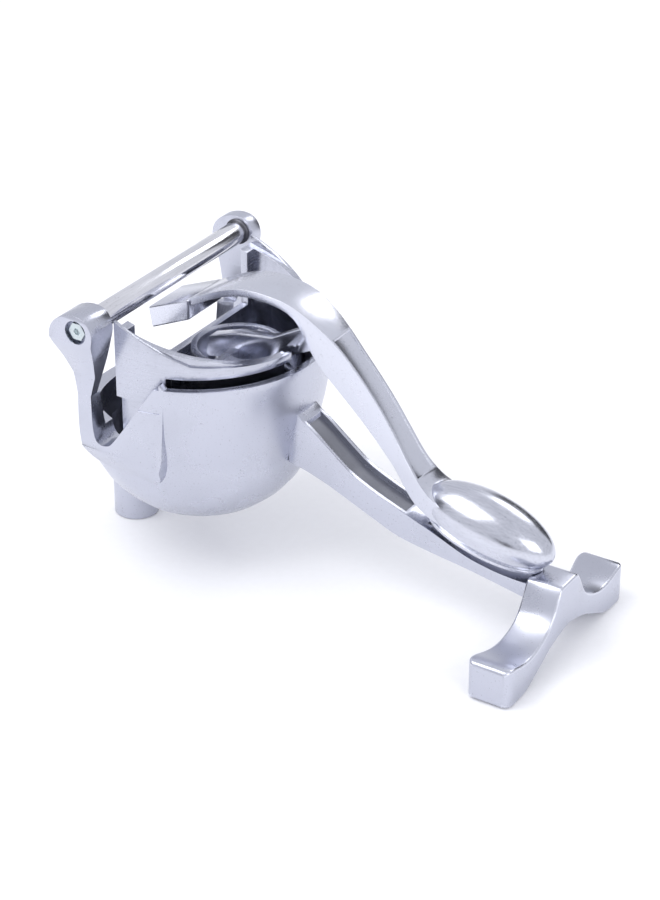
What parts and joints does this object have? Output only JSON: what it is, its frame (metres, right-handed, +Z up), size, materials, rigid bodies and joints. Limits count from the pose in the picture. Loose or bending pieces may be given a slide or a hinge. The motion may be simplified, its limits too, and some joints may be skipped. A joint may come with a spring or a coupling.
{
  "type": "hand juice press",
  "caption": "Cast aluminium hand juice press: round bowl on a rear spout and fork foot, loose strainer cup, and a long lever that swings a pressing dish about a cross bar.",
  "frame": {"origin": "middle of the footprint at the level the press stands on", "axes": "+X along the handle from the cross bar to the fork foot, +Y along the cross bar, +Z up"},
  "size_m": [0.2282, 0.1212, 0.1286],
  "materials": {
    "cast_body": "satin cast and tumbled, polished rims and edges",
    "cup": "satin cast, bright lip",
    "zinc_steel": "zinc plated",
    "dark_steel": "dark plain washer",
    "bright_tube": "polished tube",
    "cast_lever": "satin cast, polished upper face",
    "polished_pad": "polished"
  },
  "bodies": {
    "body": {"bowl": "cast_body", "side_ears": "cast_body", "drain_spout": "cast_body", "lower_handle": "cast_body", "fork_foot": "cast_body", "axle_bolt": "zinc_steel", "washers": "dark_steel"},
    "cup": {"strainer_wall": "cup", "strainer_floor": "cup"},
    "roller": {"roller_tube": "bright_tube"},
    "lever": {"lever_heel": "cast_lever", "lever_arm": "cast_lever", "palm_pad": "polished_pad", "press_dish": "cast_lever", "press_rib": "cast_lever"}
  },
  "joints": [
    {"name": "lever_swing", "type": "hinge", "parent": "body", "child": "lever", "pos_m": [-0.0784, 0.0042, 0.12], "axis": [0, -1, 0], "range_deg": [0, 78]},
    {"name": "roller_spin", "type": "hinge", "parent": "body", "child": "roller", "pos_m": [-0.0784, 0.0042, 0.12], "axis": [0, 1, 0], "continuous": true},
    {"name": "cup_lift", "type": "slide", "parent": "body", "child": "cup", "axis": [0, 0, 1], "range_m": [0, 0.0035]}
  ]
}
